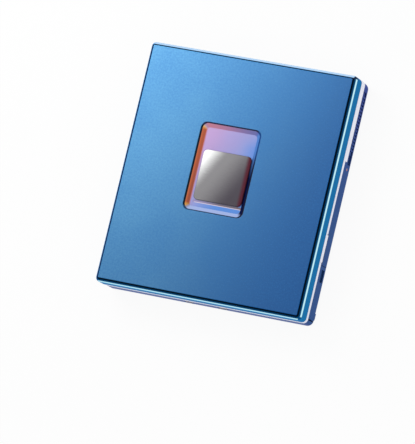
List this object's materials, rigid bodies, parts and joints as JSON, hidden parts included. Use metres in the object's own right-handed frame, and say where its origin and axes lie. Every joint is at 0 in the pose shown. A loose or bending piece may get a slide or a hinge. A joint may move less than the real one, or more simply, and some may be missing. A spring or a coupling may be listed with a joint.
{
  "type": "portable minidisc player",
  "caption": "Flat pocket disc player with a hinged lid, a tilting cartridge holder, a small window with a badge plate, side keys, a sliding catch and a battery door.",
  "frame": {"origin": "centre of the back face, on which the player lies", "axes": "+X from the hinge side to the side with the keys, +Y up the face to the end with the jack, +Z out of the lid's face"},
  "size_m": [0.072, 0.08, 0.014],
  "materials": {
    "lid_blue": "fine-blasted blue anodised",
    "shell_blue": "satin blue anodised",
    "silver_trim": "silver plated plastic",
    "window_pane": "dichroic tinted acrylic",
    "window_bezel": "interference coated",
    "badge_steel": "brushed",
    "steel": "plain steel",
    "holder_steel": "pressed stainless sheet",
    "screw_steel": "nickel plated",
    "board_green": "solder mask",
    "chip_black": "moulded",
    "motor_can": "plated can",
    "turntable_black": "moulded",
    "dark_plastic": "moulded",
    "pickup_casting": "die cast",
    "lens_glass": "coated lens",
    "gear_white": "acetal",
    "contact_gold": "gold flashed",
    "lamp_red": "clear red",
    "battery_wrap": "sleeved cell"
  },
  "bodies": {
    "base": {"bottom_shell": "shell_blue", "mid_frame": "silver_trim", "hinge_pins": "steel", "chassis_plate": "holder_steel", "case_screws": "screw_steel", "chassis_screws": "screw_steel", "main_board": "board_green", "board_chips": "chip_black", "tact_switches": "chip_black", "spindle_motor": "motor_can", "guide_rod": "steel", "support_rod": "steel", "rod_clips": "dark_plastic", "screw_bearings": "dark_plastic", "feed_motor": "motor_can", "phone_jack": "dark_plastic", "charge_contacts": "contact_gold", "lamp_lens": "lamp_red", "battery": "battery_wrap", "battery_contact": "contact_gold", "door_pin": "steel"},
    "lid": {"lid": "lid_blue", "window_pane": "window_pane", "window_bezel": "window_bezel", "badge_plate": "badge_steel", "lid_catch": "steel"},
    "holder": {"disc_holder": "holder_steel"},
    "slide": {"open_slide": "shell_blue", "latch_bar": "steel"},
    "play_key": {"play_key": "silver_trim"},
    "volume_rocker": {"volume_rocker": "silver_trim"},
    "track_rocker": {"track_rocker": "silver_trim"},
    "hold_slide": {"hold_slide": "silver_trim"},
    "door": {"battery_door": "shell_blue", "door_contact": "contact_gold"},
    "turntable": {"turntable": "turntable_black"},
    "pickup": {"optical_pickup": "pickup_casting"},
    "lens": {"objective_lens": "lens_glass"},
    "lead_screw": {"lead_screw": "steel"},
    "motor_pinion": {"motor_pinion": "gear_white"}
  },
  "joints": [
    {"name": "lid_hinge", "type": "hinge", "parent": "base", "child": "lid", "pos_m": [-0.0349, 0, 0.0094], "axis": [0, -1, 0], "range_deg": [0, 45]},
    {"name": "holder_hinge", "type": "hinge", "parent": "base", "child": "holder", "pos_m": [-0.0349, 0, 0.0094], "axis": [0, -1, 0], "range_deg": [0, 22.5]},
    {"name": "open_slide_travel", "type": "slide", "parent": "base", "child": "slide", "axis": [0, -1, 0], "range_m": [0, 0.003], "stiffness_N_per_m": 150},
    {"name": "play_key_press", "type": "slide", "parent": "base", "child": "play_key", "axis": [-1, 0, 0], "range_m": [0, 0.0004], "stiffness_N_per_m": 400},
    {"name": "volume_rock", "type": "hinge", "parent": "base", "child": "volume_rocker", "pos_m": [-0.0196, 0.038, 0.004], "axis": [0, 0, 1], "range_deg": [-2.5, 2.5], "stiffness_Nm_per_rad": 0.01},
    {"name": "track_rock", "type": "hinge", "parent": "base", "child": "track_rocker", "pos_m": [0.0011, 0.038, 0.004], "axis": [0, 0, 1], "range_deg": [-2.5, 2.5], "stiffness_Nm_per_rad": 0.01},
    {"name": "hold_slide_travel", "type": "slide", "parent": "base", "child": "hold_slide", "axis": [1, 0, 0], "range_m": [0, 0.0036]},
    {"name": "battery_door_hinge", "type": "hinge", "parent": "base", "child": "door", "pos_m": [0.0348, -0.0373, 0.0035], "axis": [0, 0, -1], "range_deg": [0, 90]},
    {"name": "spindle_spin", "type": "hinge", "parent": "base", "child": "turntable", "pos_m": [0.0007, 0, 0.0064], "axis": [0, 0, 1], "continuous": true},
    {"name": "pickup_slide", "type": "slide", "parent": "base", "child": "pickup", "axis": [0, 1, 0], "range_m": [0, 0.016]},
    {"name": "lead_screw_spin", "type": "hinge", "parent": "base", "child": "lead_screw", "pos_m": [-0.0132, 0.009, 0.0038], "axis": [0, 1, 0], "range_deg": [0, 2885]},
    {"name": "pinion_spin", "type": "hinge", "parent": "base", "child": "motor_pinion", "pos_m": [-0.01575, 0.009, 0.0038], "axis": [0, 1, 0], "range_deg": [-5190, 0]},
    {"name": "lens_focus", "type": "slide", "parent": "pickup", "child": "lens", "axis": [0, 0, 1], "range_m": [-0.0003, 0.0003], "stiffness_N_per_m": 20}
  ],
  "couplings": [
    {"joint": "holder_hinge", "follows": "lid_hinge", "ratio": 0.5},
    {"joint": "lead_screw_spin", "follows": "pickup_slide", "rad_per_m": 3141.6},
    {"joint": "pinion_spin", "follows": "pickup_slide", "rad_per_m": -5654.9}
  ]
}
